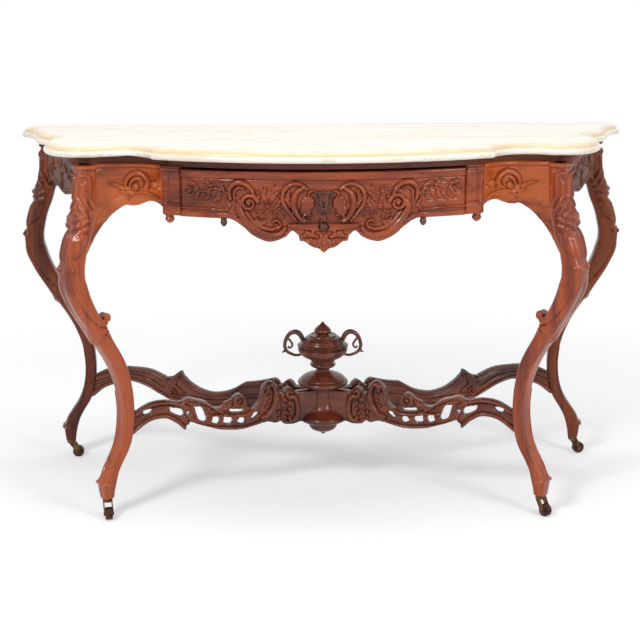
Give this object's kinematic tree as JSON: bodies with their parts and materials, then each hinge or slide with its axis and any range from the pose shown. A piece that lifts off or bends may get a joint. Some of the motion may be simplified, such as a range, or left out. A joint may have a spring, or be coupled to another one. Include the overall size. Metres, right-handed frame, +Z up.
{
  "type": "pier table",
  "caption": "Serpentine marble-topped pier table on carved scroll legs, with a bowed frieze drawer, an X stretcher carrying a covered urn, and swivel casters.",
  "frame": {"origin": "middle of the table's footprint at floor level", "axes": "+X along the length, to the right seen from the front; +Y from the bowed front to the straight back; +Z up"},
  "size_m": [1.5946, 0.653, 0.92],
  "materials": {
    "marble": "polished",
    "carved_wood": "french polished",
    "secondary_wood": "unpolished",
    "brass": "tarnished",
    "steel": "dull",
    "caster_wheel": "dull"
  },
  "bodies": {
    "table": {"back_rail": "secondary_wood", "back_top_rail": "secondary_wood", "bearer_rail": "secondary_wood", "caster_plates": "brass", "drawer_guides": "secondary_wood", "frame_screws": "steel", "front_left_leg": "carved_wood", "front_left_stretcher_arm": "carved_wood", "front_right_leg": "carved_wood", "front_right_stretcher_arm": "carved_wood", "front_top_rail": "secondary_wood", "glue_blocks": "secondary_wood", "hub_drop": "carved_wood", "left_corner_panel": "carved_wood", "left_drawer_kicker": "secondary_wood", "left_drawer_runner": "secondary_wood", "left_pilaster": "carved_wood", "left_side_panel": "carved_wood", "left_top_rail": "secondary_wood", "marble_top": "marble", "pilaster_drops": "carved_wood", "rear_left_leg": "carved_wood", "rear_left_stretcher_arm": "carved_wood", "rear_right_leg": "carved_wood", "rear_right_stretcher_arm": "carved_wood", "right_corner_panel": "carved_wood", "right_drawer_kicker": "secondary_wood", "right_drawer_runner": "secondary_wood", "right_pilaster": "carved_wood", "right_side_panel": "carved_wood", "right_top_rail": "secondary_wood", "stretcher_hub": "carved_wood", "urn_body": "carved_wood", "urn_foot": "carved_wood", "urn_handle_left": "carved_wood", "urn_handle_right": "carved_wood", "urn_lid": "carved_wood"},
    "drawer": {"drawer_back": "secondary_wood", "drawer_bottom": "secondary_wood", "drawer_drops": "carved_wood", "drawer_front": "carved_wood", "drawer_knob": "carved_wood", "keyhole_shield": "carved_wood", "left_drawer_side": "secondary_wood", "lock_case": "steel", "right_drawer_side": "secondary_wood"},
    "lock_bolt": {"lock_bolt": "steel"},
    "front_left_swivel": {"front_left_caster_fork": "brass", "front_left_caster_axle": "brass"},
    "front_left_wheel": {"front_left_caster_wheel": "caster_wheel"},
    "front_right_swivel": {"front_right_caster_fork": "brass", "front_right_caster_axle": "brass"},
    "front_right_wheel": {"front_right_caster_wheel": "caster_wheel"},
    "rear_left_swivel": {"rear_left_caster_fork": "brass", "rear_left_caster_axle": "brass"},
    "rear_left_wheel": {"rear_left_caster_wheel": "caster_wheel"},
    "rear_right_swivel": {"rear_right_caster_fork": "brass", "rear_right_caster_axle": "brass"},
    "rear_right_wheel": {"rear_right_caster_wheel": "caster_wheel"}
  },
  "joints": [
    {"name": "drawer_slide", "type": "slide", "parent": "table", "child": "drawer", "axis": [0, -1, 0], "range_m": [0, 0.3]},
    {"name": "lock_bolt_throw", "type": "slide", "parent": "drawer", "child": "lock_bolt", "axis": [0, 0, 1], "range_m": [0, 0.01]},
    {"name": "front_left_caster_swivel", "type": "hinge", "parent": "table", "child": "front_left_swivel", "pos_m": [-0.535, -0.165, 0.0437], "axis": [0, 0, 1], "continuous": true},
    {"name": "front_left_wheel_spin", "type": "hinge", "parent": "front_left_swivel", "child": "front_left_wheel", "pos_m": [-0.53034, -0.18239, 0.0155], "axis": [0.9659, 0.2588, 0], "continuous": true},
    {"name": "front_right_caster_swivel", "type": "hinge", "parent": "table", "child": "front_right_swivel", "pos_m": [0.535, -0.165, 0.0437], "axis": [0, 0, 1], "continuous": true},
    {"name": "front_right_wheel_spin", "type": "hinge", "parent": "front_right_swivel", "child": "front_right_wheel", "pos_m": [0.54532, -0.17974, 0.0155], "axis": [0.8192, 0.5736, 0], "continuous": true},
    {"name": "rear_left_caster_swivel", "type": "hinge", "parent": "table", "child": "rear_left_swivel", "pos_m": [-0.698, 0.293, 0.0437], "axis": [0, 0, 1], "continuous": true},
    {"name": "rear_left_wheel_spin", "type": "hinge", "parent": "rear_left_swivel", "child": "rear_left_wheel", "pos_m": [-0.68007, 0.29457, 0.0155], "axis": [-0.0872, 0.9962, 0], "continuous": true},
    {"name": "rear_right_caster_swivel", "type": "hinge", "parent": "table", "child": "rear_right_swivel", "pos_m": [0.698, 0.293, 0.0437], "axis": [0, 0, 1], "continuous": true},
    {"name": "rear_right_wheel_spin", "type": "hinge", "parent": "rear_right_swivel", "child": "rear_right_wheel", "pos_m": [0.71539, 0.29766, 0.0155], "axis": [-0.2588, 0.9659, 0], "continuous": true}
  ]
}
